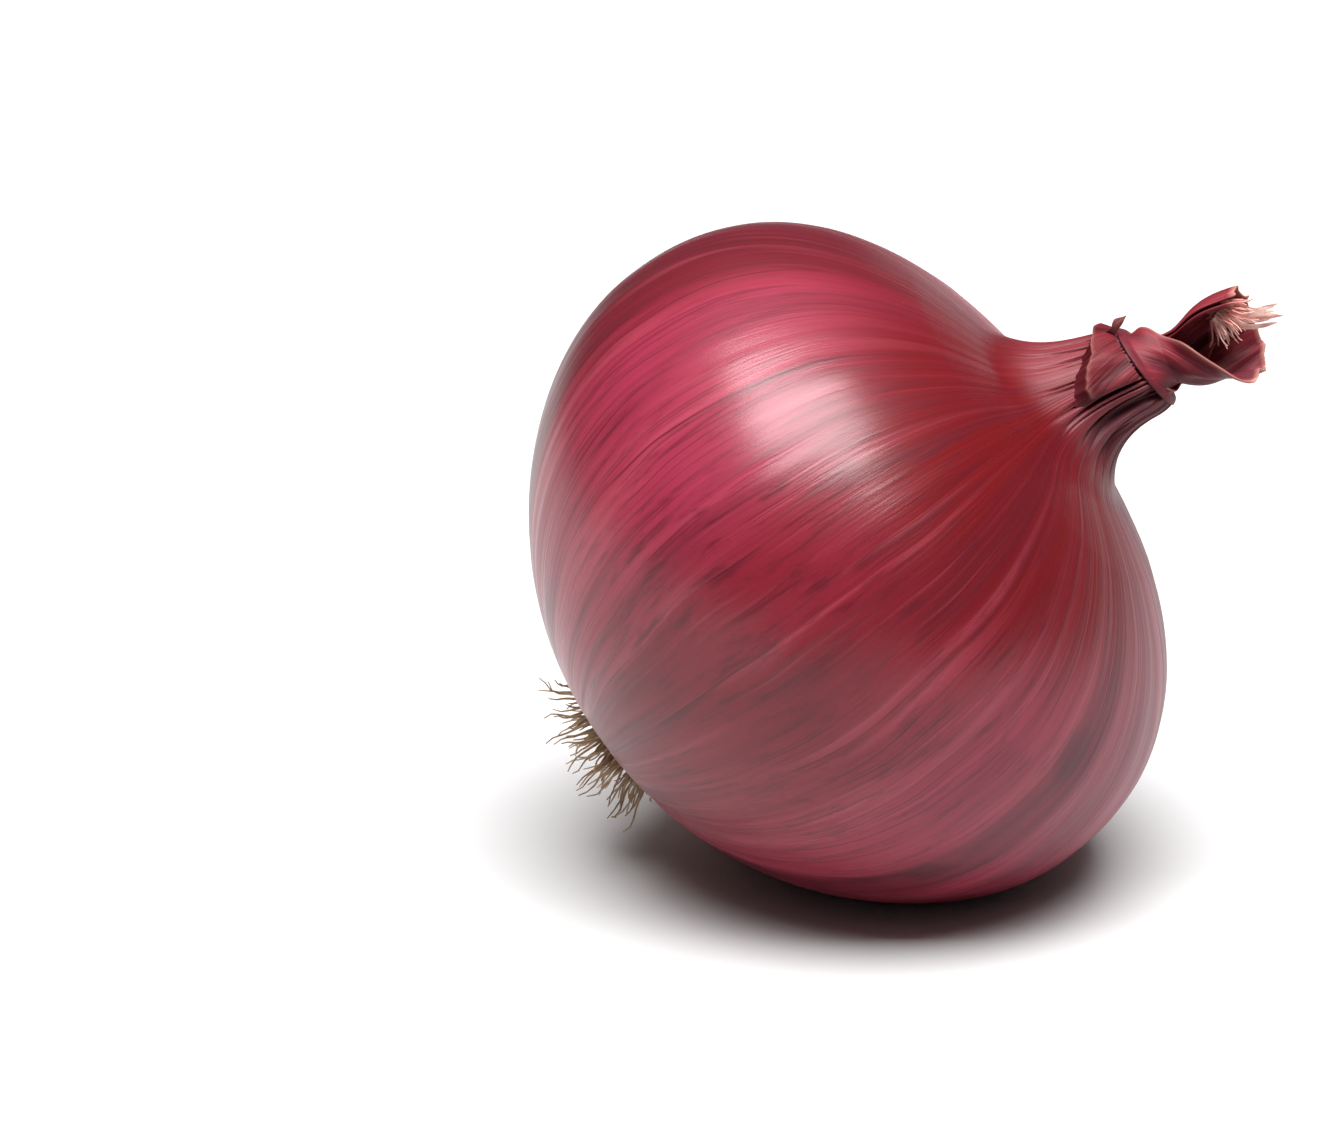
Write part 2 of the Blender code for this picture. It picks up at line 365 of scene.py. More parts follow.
def leaf(
    mesh: Mesh, look: Material, fibre: np.ndarray, rim: np.ndarray, recess_shade: np.ndarray
) -> Mesh:
    """Gives a leaf's mesh its material and the attributes that the material reads."""
    note(mesh, "fibre", fibre.reshape(-1, 3))
    note(mesh, "rim", np.clip(rim, 0, 1).ravel())
    note(mesh, "recess_shade", recess_shade.ravel())
    mesh.materials.append(look)
    return mesh


def grid_mesh(name: str, rows: np.ndarray, closed: bool = False) -> Mesh:
    """A mesh of quads over a grid of points.

    Args:
        name: The mesh's name.
        rows: The points, by row, then by place in the row.
        closed: Whether each row's last point joins its first.

    Returns:
        The mesh, whose points keep the grid's order.
    """
    count, width = rows.shape[:2]
    faces = []
    for i in range(count - 1):
        for j in range(width if closed else width - 1):
            k = (j + 1) % width
            faces.append((i * width + j, i * width + k, (i + 1) * width + k, (i + 1) * width + j))
    mesh = bpy.data.meshes.new(name)
    mesh.from_pydata(rows.reshape(-1, 3).tolist(), [], faces)
    mesh.shade_smooth()
    return mesh


def piece(name: str, mesh: Mesh, slot: Slot, *nodes: str) -> Object:
    """Puts a finished mesh in the scene, on the onion's body.

    Args:
        name: The piece's name.
        mesh: Its mesh, already in place.
        slot: The record's material slot; not used.
        nodes: The frame's nodes that it stands for.

    Returns:
        The new object.
    """
    made = placed(name, mesh)
    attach(made, BODY)
    if nodes:
        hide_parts(*nodes)
    log.info("%s: %d faces", name, len(mesh.polygons))
    return made


def held(value: float) -> float:
    """The value held between 0 and 1."""
    return max(0.0, min(1.0, value))


def swell(offset: float, width: float) -> float:
    """A smooth bump: 1 where the offset is 0, and gone at about twice this width."""
    return math.exp(-((offset / width) ** 2))


def wander(count: int, seed: int, waves: int = 5) -> np.ndarray:
    """A smooth random line of numbers of about -1 to 1, the same on every run."""
    random = np.random.default_rng(seed)
    along = np.linspace(0, 1, count)
    total = np.zeros(count)
    for wave in range(1, waves + 1):
        height = random.normal() / wave
        total += height * np.sin(TURN * wave * along * 0.8 + random.uniform(0, TURN))
    return total / max(1e-9, np.abs(total).max())


# ---- Finishes ----


def blank(name: str) -> tuple[Material, Graph]:
    """An empty material with its graph."""
    made = bpy.data.materials.new(name)
    made.use_nodes = True
    made.node_tree.nodes.clear()
    return made, Graph(made.node_tree)


def stored(graph: Graph, name: str, out: str = "Fac") -> Wire:
    """A shader's view of an attribute that was stored on the points."""
    return graph.wire("ShaderNodeAttribute", {"attribute_name": name}, None, out)


@dataclass(frozen=True)
class SatinSkin:
    """The dry outer skin: crimson and satin, with fine veins that run from the root to the neck."""

    crimson: Colour = (0.238, 0.019, 0.045, 1.0)
    scarlet: Colour = (0.108, 0.003, 0.004, 1.0)
    wine_shade: Colour = (0.150, 0.007, 0.014, 1.0)
    plum: Colour = (0.280, 0.026, 0.047, 1.0)
    neck: Colour = (0.150, 0.008, 0.014, 1.0)
    neck_shade: Colour = (0.095, 0.009, 0.015, 1.0)
    shade: Colour = (0.070, 0.005, 0.011, 1.0)
    vein_and_crease_shade: Colour = (0.045, 0.004, 0.009, 1.0)
    blush: Colour = (0.450, 0.085, 0.120, 1.0)
    straw: Colour = (0.400, 0.240, 0.130, 1.0)
    shaded_side: tuple[float, float] = (-0.05, -0.999)
    roughness: float = 0.32
    coat: float = 0.03
    specular: float = 0.38
    coat_roughness: float = 0.26

    def make(self) -> Material:
        """Builds the material.

        Returns:
            A material that reads the attributes grain, crease and up.
        """
        made, g = blank("onion_skin")
        cosine, sine, along = g.parts(stored(g, "grain", "Vector"))
        crease, up = stored(g, "crease"), stored(g, "up")
        slow = g.noise(g.vector(cosine * 3.0, sine * 3.0, along * 3.0), 1.0, 1.0, 0.4)
        sway = (slow - 0.5) * 0.04
        bent_cosine, bent_sine = cosine - sine * sway, sine + cosine * sway

        def streaks(around: float, lengthwise: float, detail: float, drift: float = 0.0) -> Wire:
            """Noise drawn out along the veins, with that many waves to a radian."""
            lengthwise_place = along * lengthwise + drift
            where = g.vector(bent_cosine * around, bent_sine * around, lengthwise_place)
            return g.noise(where, 1.0, detail, 0.65)

        broad = streaks(3.2, 0.9, 2.0)
        ribbons = streaks(9.0, 0.7, 2.0, 7.0)
        fibres = streaks(46.0, 1.1, 2.0, 3.0)
        mottle = streaks(30.0, 6.0, 4.0, 5.0)
        lines = streaks(8.5, 0.28, 0.0, 11.0)
        fine_lines = streaks(23.0, 0.5, 0.0, 17.0)
        spread = 1.0 - along.ramp(0.25, 0.70) * 0.75
        veins = (1.0 - ((lines - 0.5).alone("ABSOLUTE") / 0.013).between()) * spread
        hairs = (1.0 - ((fine_lines - 0.5).alone("ABSOLUTE") / 0.035).between()) * spread
        breaks = streaks(6.0, 4.0, 1.0, 23.0).ramp(0.40, 0.55)

        # Painted shade: how far each point faces the camera's side, which is painted darker below.
        side = cosine * self.shaded_side[0] + sine * self.shaded_side[1]
        top, patchy = 0.0 - cosine, 0.45 + broad * 0.8
        root_end = along.ramp(-0.735, -0.825)
        base = g.layered(
            self.crimson,
            (along.ramp(0.05, -0.5) * 0.8, self.plum),
            # Painted shade: the camera-facing side darker wine.
            (side.ramp(0.86, 0.985) * patchy, self.wine_shade),
            # Painted shade: the top rim darker, in wine and then the shade colour.
            (top.ramp(0.88, 0.985) * (patchy + 0.1), self.wine_shade),
            (top.ramp(0.90, 0.995) * 0.55, self.shade),
            # Darker red toward the neck, reaching further onto the camera-facing side as painted
            # shade.
            ((along + side.most(0.0) * 0.45).ramp(0.60, 0.95) * 0.92, self.scarlet),
            (up.ramp(0.02, 0.25) * 0.85, self.neck),
            (up.ramp(0.02, 0.3) * cosine.ramp(0.1, 0.45), self.neck_shade),
            (broad.ramp(0.50, 0.72) * 0.45, self.shade),
            (ribbons.ramp(0.52, 0.72) * 0.5, self.shade),
            (ribbons.ramp(0.48, 0.25) * 0.34 * spread, self.blush),
            (fibres.ramp(0.50, 0.80) * 0.36, self.shade),
            (fibres.ramp(0.44, 0.2) * 0.22 * spread, self.blush),
            # Mottle, made stronger on the camera-facing side as painted shade.
            (mottle.ramp(0.48, 0.75) * (0.35 + side.ramp(0.6, 0.95) * 0.40), self.shade),
            (hairs * breaks * 0.5, self.vein_and_crease_shade),
            (veins * (0.30 + breaks * 0.45), self.vein_and_crease_shade),
            (up.ramp(0.05, 0.5) * fibres.ramp(0.55, 0.3) * 0.12, self.blush),
            # Painted shade in the neck's creases.
            (crease * 0.85, self.vein_and_crease_shade),
            (up.ramp(0.6, 1.0) * (0.3 + ribbons * 0.7), self.shade),
            (root_end * ribbons.ramp(0.3, 0.6), self.straw),
        )
        grit = (fibres - 0.5) * 0.16 + (ribbons - 0.5) * 0.2
        dull = up.ramp(0.0, 0.25) * 0.26 + cosine.ramp(0.2, 0.8) * 0.10
        relief = fibres * 0.28 + ribbons * 0.5 + mottle * 0.25
        sockets = {"Base Color": base, "Roughness": self.roughness + grit + dull}
        sockets["Normal"] = g.bump(relief, 0.5, 0.00035)
        sockets["Coat Weight"], sockets["Coat Roughness"] = self.coat, self.coat_roughness
        sockets["Specular IOR Level"] = self.specular
        g.shade(sockets)
        return made


@dataclass(frozen=True)
class DryLeaf:
    """A withered leaf: dull dark red with lengthwise fibres, paler where it is torn, with painted
    highlights along some edges and painted shade in its recesses.
    """

    name: str = "dry_leaf"
    red: Colour = (0.170, 0.014, 0.022, 1.0)
    dark: Colour = (0.080, 0.009, 0.016, 1.0)
    pink: Colour = (0.270, 0.045, 0.055, 1.0)
    torn: Colour = (0.620, 0.290, 0.230, 1.0)
    roughness: float = 0.55
    specular: float = 0.22

    def make(self) -> Material:
        """Builds the material.

        Returns:
            A material that reads the attributes fibre, rim and hollow.
        """
        made, g = blank(self.name)
        across, lengthwise, depth = g.parts(stored(g, "fibre", "Vector"))
        strands = g.noise(g.vector(across * 26.0, lengthwise * 1.3, depth), 1.0, 2.0, 0.6)
        bands = g.noise(g.vector(across * 8.0, lengthwise * 0.9, depth + 5.0), 1.0, 1.0, 0.5)
        base = g.layered(
            self.dark,
            (bands.ramp(0.35, 0.62), self.red),
            (strands.ramp(0.52, 0.75) * 0.55, self.pink),
            (strands.ramp(0.45, 0.25) * 0.6, self.dark),
            # Pale torn edges, with painted highlights along the free edge and the lifted ridge.
            (stored(g, "rim") * (0.5 + strands * 0.6), self.torn),
            # Painted shade where the leaf leaves the pinch and under the neck layer's lifted edge.
            (stored(g, "recess_shade"), self.dark),
        )
        sockets = {"Base Color": base, "Roughness": self.roughness + (strands - 0.5) * 0.2}
        sockets["Normal"] = g.bump(strands + bands, 0.7, 0.00025)
        sockets["Specular IOR Level"] = self.specular
        g.shade(sockets)
        return made


@dataclass(frozen=True)
class DryFibre:
    """Thin dry strands: one colour that drifts to another along the piece."""

    name: str
    pale: Colour
    deep: Colour
    scale: float = 900.0
    roughness: float = 0.75

    def make(self) -> Material:
        """Builds the material."""
        made, g = blank(self.name)
        where = g.wire("ShaderNodeTexCoord", None, None, "Object")
        patches = g.noise(where, self.scale * 0.35, 2.0)
        grit = g.noise(where, self.scale * 3.0, 2.0)
        blotches, specks = patches.ramp(0.35, 0.65), grit.ramp(0.55, 0.75) * 0.5
        base = g.layered(self.pale, (blotches, self.deep), (specks, self.deep))
        sockets = {"Base Color": base, "Roughness": self.roughness + (grit - 0.5) * 0.15}
        sockets["Normal"] = g.bump(grit, 0.6, 0.0002)
        g.shade(sockets)
        return made


# ---- The onion ----


@dataclass
class Pose:
    """How the upright onion is laid down: leaned on its cheek, where the frame's bulb lies."""

    lean_deg: float = 38.8
    back_of_middle: float = 0.0351
    above_middle: float = 0.03736
    soft_edge: float = 0.0004

    def matrix(self) -> Matrix:
        """The matrix from the onion's own axes to the frame's."""
        low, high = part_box("bulb")
        place = (low.x + self.back_of_middle, (low.y + high.y) / 2, high.z - self.above_middle)
        turn = Matrix.Rotation(math.radians(90 - self.lean_deg), 4, "Y")
        return Matrix.Translation(place) @ turn

    def lay(self, mesh: Mesh) -> Mesh:
        """Lays a mesh down and presses flat what would reach below the resting surface."""
        mesh.transform(self.matrix())
        points = points_of(mesh)
        points[:, 2] = (points[:, 2] + np.sqrt(points[:, 2] ** 2 + self.soft_edge**2)) / 2
        set_points(mesh, points)
        return mesh


@dataclass
class Bulb:
    """The bulb with its skin, from the root end to the pinch of the neck, as one surface."""

    radius: float = 0.0400
    root_depth: float = 0.0334
    crown_height: float = 0.0283
    root_squareness: float = 1.84
    crown_squareness: float = 2.33
    lobes: tuple[tuple[int, float, float], ...] = (
        (2, 0.006, 3.14),
        (3, 0.003, 2.1),
        (5, 0.002, 4.0),
    )
    dimple_radius: float = 0.0085
    dimple_depth: float = 0.0022
    neck_base: float = 0.0108
    neck_top: float = 0.0051
    neck_flare: float = 0.0036
    neck_length: float = 0.0115
    sway: float = 0.0021
    pinch_radius: float = 0.0040
    pinch_length: float = 0.0026
    sides: int = 480
    rings: int = 200
    body_share: float = 0.70
    neck_share: float = 0.26
    rib_height: float = 0.00017
    crease_depth: float = 0.0012
    blend_power: float = 9.0

    @property
    def pinch_height(self) -> float:
        """Height of the neck's end above the widest section."""
        return self.crown_height + self.neck_length

    def sway_at(self, height: float) -> float:
        """How far the neck's middle hangs to the low side at this height."""
        return self.sway * max(0.0, (height - self.crown_height) / self.neck_length) ** 2

    def neck_radius(self, height: float) -> float:
        """The neck's radius at this height, before its end closes."""
        flare = math.exp(-(height - self.crown_height) / self.neck_flare)
        return self.neck_top + (self.neck_base - self.neck_top) * flare

    def closing_radius(self, height: float) -> float:
        """The neck's radius at this height, drawn in to the pinch over its last few millimetres."""
        shut = held(1 - (self.pinch_height - height) / self.pinch_length)
        wider = self.neck_radius(height) - self.pinch_radius
        return self.pinch_radius + wider * math.sqrt(1 - shut**2)

    def _profile(self, recipe: Recipe, v: Wire) -> tuple[Wire, Wire]:
        """The turned profile.

        Args:
            recipe: The tree that it is written into.
            v: The place along the profile, from 0 at the root to 1 at the pinch.

        Returns:
            The radius and the height, in metres.
        """
        radius, root_depth, crown, neck_base, neck_top = recipe.sizes(
            self, "radius", "root_depth", "crown_height", "neck_base", "neck_top"
        )
        flare_length, neck_length, pinch, pinch_length = recipe.sizes(
            self, "neck_flare", "neck_length", "pinch_radius", "pinch_length"
        )
        reach = math.acos((self.neck_base / self.radius) ** (self.crown_squareness / 2))
        quarter = (v / self.body_share).between() * (math.pi / 2 + reach) - math.pi / 2
        above = quarter > 0.0
        squareness = self.root_squareness + (self.crown_squareness - self.root_squareness) * above
        depth = root_depth + (crown - root_depth) * above
        sine = quarter.alone("SINE")
        body = radius * quarter.alone("COSINE").most(0.0) ** (2.0 / squareness)
        height = sine.alone("SIGN") * depth * sine.alone("ABSOLUTE") ** (2.0 / squareness)
        dimple = (body * body / self.dimple_radius**2 * -1.0).alone("EXPONENT") * self.dimple_depth
        height = height + dimple * (1.0 - above)

        up_neck = ((v - self.body_share) / self.neck_share).between()
        shoulder = self.crown_height * math.sin(reach) ** (2 / self.crown_squareness)
        top = crown + neck_length
        height = height + (top - shoulder) * up_neck
        flare = ((crown - height) / flare_length).alone("EXPONENT")
        neck = (neck_top + (neck_base - neck_top) * flare).least(neck_base * 1.6)
        shut = (1.0 - (top - height) / pinch_length).between()
        neck = (pinch + (neck - pinch) * (1.0 - shut * shut).alone("SQRT")) * above
        body = body * (1.0 - (up_neck * 6.0).between()) * 1000.0
        power, end_share = self.blend_power, 1 - self.body_share - self.neck_share
        both = (body**power + (neck * 1000.0) ** power) ** (1 / power)
        cap = ((v - self.body_share - self.neck_share) / end_share).between()
        return both / 1000.0 * (1.0 - cap), height

    def skin(self, look: Material) -> Mesh:
        """Builds the skin with its lobes, its ribs and the creases of the neck.

        Args:
            look: Its material.

        Returns:
            The upright mesh, with the attributes grain, crease and up.
        """
        recipe = Recipe("bulb_skin")
        g = recipe.graph
        sides, rings, rib_height, crease_depth = recipe.sizes(
            self, "sides", "rings", "rib_height", "crease_depth"
        )
        counts = {"Size X": 1.0, "Size Y": 1.0, "Vertices X": sides + 1.0, "Vertices Y": rings}
        grid = g.wire("GeometryNodeMeshGrid", None, counts)
        x, y, _ = g.parts(g.wire("GeometryNodeInputPosition"))
        angle = (x + 0.5) * TURN
        cosine, sine = angle.alone("COSINE"), angle.alone("SINE")
        radius, height = self._profile(recipe, y + 0.5)
        far = (height / self.root_depth).alone("ABSOLUTE").least(1.0)
        waist = (far * (math.pi / 2)).alone("COSINE")
        uneven = 0.0
        for count, share, phase in self.lobes:
            uneven = uneven + (angle * float(count) + phase).alone("COSINE") * share
        radius = radius * (1.0 + uneven * waist)
        up = ((height - self.crown_height) / self.neck_length).between()
        hang = up * up * self.sway
        grain = g.vector(cosine, sine, height / self.radius)
        laid = recipe.keep(grid, "grain", grain, vector=True)
        laid = recipe.keep(laid, "up", up)
        where = g.vector(radius * cosine + hang, radius * sine, height)
        laid = recipe.move(laid, Position=where)
        laid = g.wire("GeometryNodeMergeByDistance", None, {"Geometry": laid, "Distance": 2e-6})

        cosine, sine, along = g.parts(recipe.recall("grain", vector=True))
        up = recipe.recall("up")

        def waves(around: float, lengthwise: float, drift: float) -> Wire:
            """Noise round the onion, about 0, drawn out along it."""
            where = g.vector(cosine * around, sine * around, along * lengthwise + drift)
            return g.noise(where, 1.0, 1.0) - 0.5

        ribs = waves(5.0, 0.7, 0.0) + waves(13.0, 0.8, 9.0) * 0.45
        body = along.ramp(-0.84, -0.6) * (1.0 - along.ramp(0.15, 0.72) * 0.72)
        folds = waves(2.3, 1.1, 31.0).alone("ABSOLUTE")
        small_folds = waves(4.6, 1.3, 47.0).alone("ABSOLUTE")
        deep = 1.0 - (folds / 0.05).between()
        fine = 1.0 - (small_folds / 0.06).between()
        drawn = up.ramp(0.0, 0.6) * (0.35 + 0.65 * cosine.ramp(-0.75, -0.1))
        crease = (deep * deep + fine * fine * 0.6).least(1.0) * drawn
        laid = recipe.keep(laid, "crease", crease)
        normal = g.wire("GeometryNodeInputNormal")
        offset = ribs * rib_height * body * 2.0 - crease * crease_depth
        laid = recipe.move(laid, Offset=normal * offset)
        return tidy(recipe.build("bulb_skin", laid, look))


@dataclass
class Horn:
    """The withered leaf tops beyond the pinch: twisted together, then open like a torn horn."""

    bulb: Bulb
    length: float = 0.0112
    straight: float = 0.0030
    drop_deg: float = 24.0
    waist_radius: float = 0.0031
    waist_at: float = 0.0032
    mouth_radius: float = 0.0045
    wall: float = 0.00022
    shoulder: float = 0.0008
    dip: float = 0.30
    dip_at: float = 0.42
    flutes: int = 7
    flute_depth: float = 0.07
    crimps: int = 34
    crimp_depth: float = 0.05
    lip_flare: float = 0.16
    clearance: float = 0.00035
    rows: int = 110
    columns: int = 150

    def axis(self, along: float) -> tuple[np.ndarray, np.ndarray, np.ndarray, np.ndarray]:
        """The horn's bent middle line.

        Args:
            along: From 0 at the pinch to 1 at the mouth; past 1 it carries straight on.

        Returns:
            The point, its direction, and the two directions across it: to the low and far sides.
        """
        x, y, z = np.eye(3)
        drop = math.radians(self.drop_deg)
        top = self.bulb.pinch_height
        if along < 0:
            height = top + along * self.length
            return x * self.bulb.sway_at(height) + z * height, z, x, y
        start = x * self.bulb.sway_at(top) + z * top
        knee = start + z * self.straight
        end = knee + (x * math.sin(drop) + z * math.cos(drop)) * (self.length - self.straight)
        t = min(along, 1.0)
        point = start * (1 - t) ** 2 + knee * 2 * t * (1 - t) + end * t * t
        heading = (knee - start) * (1 - t) + (end - knee) * t
        heading = heading / np.linalg.norm(heading)
        point = point + heading * (along - t) * self.length
        low = np.cross(y, heading)
        return point, heading, low / np.linalg.norm(low), np.cross(heading, low)

    def radius(self, along: float) -> float:
        """The roll's outer radius: tight at the pinch, narrowest at the waist, then opening."""
        waist = self.waist_at / self.length
        if along < 0:
            height = self.bulb.pinch_height + along * self.length
            return self.bulb.closing_radius(height) + self.clearance
        if along < waist:
            narrowing = self.bulb.pinch_radius - self.waist_radius
            return self.waist_radius + narrowing * (1 - along / waist) ** 2
        opening = min(1.0, (along - waist) / (1 - waist))
        widening = self.mouth_radius - self.waist_radius
        return self.waist_radius + widening * math.sin(math.pi / 2 * opening)

    def sheet(
        self,
        name: str,
        look: Material,
        edges: tuple[Sequence[float], Sequence[float], Sequence[float]],
        reach: Callable[[float], float],
        shrink: float,
        seed: int,
        torn: float,
        begin: float = 0.0,
    ) -> Mesh:
        """One rolled leaf.

        Args:
            name: The mesh's name.
            look: Its material.
            edges: Places along the horn, and the angle in degrees of each free edge there. 0 is the
                low side, 90 the far side.
            reach: How far the leaf reaches along the horn, by the place across it.
            shrink: Its radius as a share of the horn's.
            seed: Which tears and ruffles it has.
            torn: How deep its rim is torn, in metres.
            begin: Where along the horn it begins; below 0 it lies on the neck.

        Returns:
            The upright mesh with a wall and the attributes fibre, rim and hollow.
        """
        random = np.random.default_rng(seed)
        across = np.linspace(0, 1, self.columns)
        jagged = np.abs(wander(self.columns, seed, 9))
        jagged += 0.5 * np.abs(wander(self.columns, seed + 1, 23))
        jagged += 0.25 * random.random(self.columns)
        ruffle = wander(self.columns, seed + 2, 7)
        grid, fibre = np.zeros((2, self.rows, self.columns, 3))
        rim, recess_shade = np.zeros((2, self.rows, self.columns))
        for j, t in enumerate(across):
            far = reach(t) - torn * jagged[j] / self.length
            for i in range(self.rows):
                s = begin + i / (self.rows - 1) * (far - begin)
                point, _, low, side = self.axis(s)
                first, last = (float(np.interp(s, edges[0], edge)) for edge in edges[1:])
                angle = math.radians(first + (last - first) * t)
                roll = self.radius(s) * shrink * (1 - 0.10 * t * (1 - min(1.0, s)))
                fluted = math.sin(self.flutes * angle - 5 * s + seed)
                roll *= 1 + self.flute_depth * max(0.0, s) * fluted + 0.05 * ruffle[j] * s
                lip = swell(t, 0.07) + 0.7 * swell(1 - t, 0.06)
                roll *= 1 + self.lip_flare * lip * held(s * 2)
                crimped = math.sin(self.crimps * t + 3 * seed)
                roll *= 1 + self.crimp_depth * crimped * held(s * 1.5)
                sunk = swell(s - self.dip_at, 0.2) * max(0.0, -math.cos(angle))
                roll *= 1 - self.dip * sunk
                roll += self.shoulder * math.exp(-((t / 0.12) ** 2) - ((s - 0.17) / 0.13) ** 2)
                out = low * math.cos(angle) + side * math.sin(angle)
                grid[i, j] = point + out * roll
                fibre[i, j] = (t, s, seed)
                # Paler toward the torn end; the pale line along the free edge is partly a painted
                # highlight.
                rim[i, j] = max(0.0, 1 - (far - s) / 0.05) * 0.6
                rim[i, j] += 0.4 * swell(t, 0.018)
                # Painted shade where the leaf comes out of the pinch.
                recess_shade[i, j] = 0.9 * swell(max(0.0, s - begin), 0.05)
        return self.walled(leaf(grid_mesh(name, grid), look, fibre, rim, recess_shade))

    def walled(self, mesh: Mesh) -> Mesh:
        """Gives an open leaf its thickness."""
        maker = placed(mesh.name + "_maker", mesh)
        wall = maker.modifiers.new("wall", "SOLIDIFY")
        wall.thickness = self.wall
        wall.offset = 0.0
        made = plain_mesh(maker)
        made.name = mesh.name
        made.shade_smooth()
        return made

    def outer(self, look: Material) -> Mesh:
        """The leaf that wraps the rest: its free edge sweeps across the near side."""
        edges = (
            (-0.2, 0.0, 0.22, 0.45, 0.7, 1.0, 1.3),
            (-250.0, -215.0, -182.0, -128.0, -78.0, -25.0, 5.0),
            (118.0, 150.0, 178.0, 196.0, 196.0, 186.0, 180.0),
        )

        def reach(t: float) -> float:
            """Longest at the free edge's corner, shorter at the far top."""
            return 1.04 - 0.04 * t + 0.12 * math.sin(math.pi * t)

        settings = {"shrink": 1.0, "seed": 5, "torn": 0.0006, "begin": -0.05}
        return self.sheet("outer_leaf", look, edges, reach, **settings)

    def inner(self, look: Material) -> Mesh:
        """The leaf inside it, which stands up past it at the far top."""
        places = (0.0, 0.4, 0.8, 1.2)
        edges = (places, (-60.0, 10.0, 60.0, 95.0), (190.0, 202.0, 208.0, 212.0))

        def reach(t: float) -> float:
            """Longest at the top."""
            return 0.72 + 0.31 * t

        return self.sheet("inner_leaf", look, edges, reach, shrink=0.86, seed=12, torn=0.0009)

    def place(self, along: float, degrees: float, share: float) -> np.ndarray:
        """The point at this place along the horn, at this angle, this share of its radius out."""
        point, _, low, side = self.axis(along)
        angle = math.radians(degrees)
        return point + (low * math.cos(angle) + side * math.sin(angle)) * self.radius(along) * share

    def frays(self, look: Material) -> Mesh:
        """The pale frayed strands that stand out of the mouth at its far top."""
        point, heading, low, side = self.axis(0.84)
        strands = Strands(
            "frayed_tips",
            strands=60,
            patch_radius=0.0013,
            length=0.0044,
            thickness=0.00020,
            spread=0.60,
            curl=0.0030,
            seed=8,
        )
        root = Vector(point - low * self.mouth_radius * 0.66 + side * 0.0008)
        turn = Vector(heading + low * 1.25).to_track_quat("-Z", "Y").to_matrix().to_4x4()
        return strands.mesh(look, Matrix.Translation(root) @ turn)

    def strips(self, look: Material) -> Mesh:
        """The short pale strips among the strands."""
        random = np.random.default_rng(21)
        parts = []
        for number in range(11):
            turn = 112.0 + 7.0 * number + random.uniform(-6, 6)
            start = self.place(random.uniform(0.70, 0.88), turn, 0.90)
            end = self.place(random.uniform(1.12, 1.36), turn - 25, random.uniform(0.30, 0.70))
            parts.append(TornStrip(start, end, random.uniform(0.0003, 0.0007), number))
        return TornStrip.joined("frayed_strips", parts, look)


@dataclass
class TornStrip:
    """A narrow strip of dry leaf that tapers to a torn point."""

    start: np.ndarray
    end: np.ndarray
    half_width: float
    seed: int
    facing: tuple[float, float, float] = (0.35, -0.8, -0.2)
    bow: float = 0.0006
    curl: float = 0.45
    tip_width: float = 0.00004
    steps: int = 26
    across: int = 7

    def grid(self) -> np.ndarray:
        """The strip's points, by step along it, then across it."""
        random = np.random.default_rng(100 + self.seed)
        ahead = (self.end - self.start) / np.linalg.norm(self.end - self.start)
        sideways = np.cross(ahead, self.facing)
        sideways = sideways / np.linalg.norm(sideways)
        out = np.cross(sideways, ahead)
        phase = random.uniform(0, TURN)
        rows = np.zeros((self.steps, self.across, 3))
        for i in range(self.steps):
            along = i / (self.steps - 1)
            ragged = 1 + 0.25 * math.sin(9 * along + phase)
            half = self.half_width * (1 - along**3) * ragged + self.tip_width
            middle = self.start + (self.end - self.start) * along
            middle = middle + out * self.bow * math.sin(math.pi * along)
            middle = middle + sideways * self.bow * 0.6 * math.sin(4 * along + phase)
            for j in range(self.across):
                share = 2 * j / (self.across - 1) - 1
                curl = self.curl * half * share**2 * math.sin(5 * along + phase)
                rows[i, j] = middle + sideways * half * share + out * curl
        return rows

    @staticmethod
    def joined(name: str, strips: Sequence["TornStrip"], look: Material) -> Mesh:
        """All the strips as one mesh.

        Args:
            name: The mesh's name.
            strips: The strips.
            look: Their material.

        Returns:
            The upright mesh, with the attributes fibre, rim and hollow.
        """
        shape = bmesh.new()
        for strip in strips:
            part = grid_mesh("strip", strip.grid())
            shape.from_mesh(part)
            bpy.data.meshes.remove(part)
        mesh = bpy.data.meshes.new(name)
        shape.to_mesh(mesh)
        shape.free()
        mesh.shade_smooth()
        points = points_of(mesh)
        count = len(points)
        return leaf(mesh, look, points / 0.004, np.full(count, 0.2), np.zeros(count))


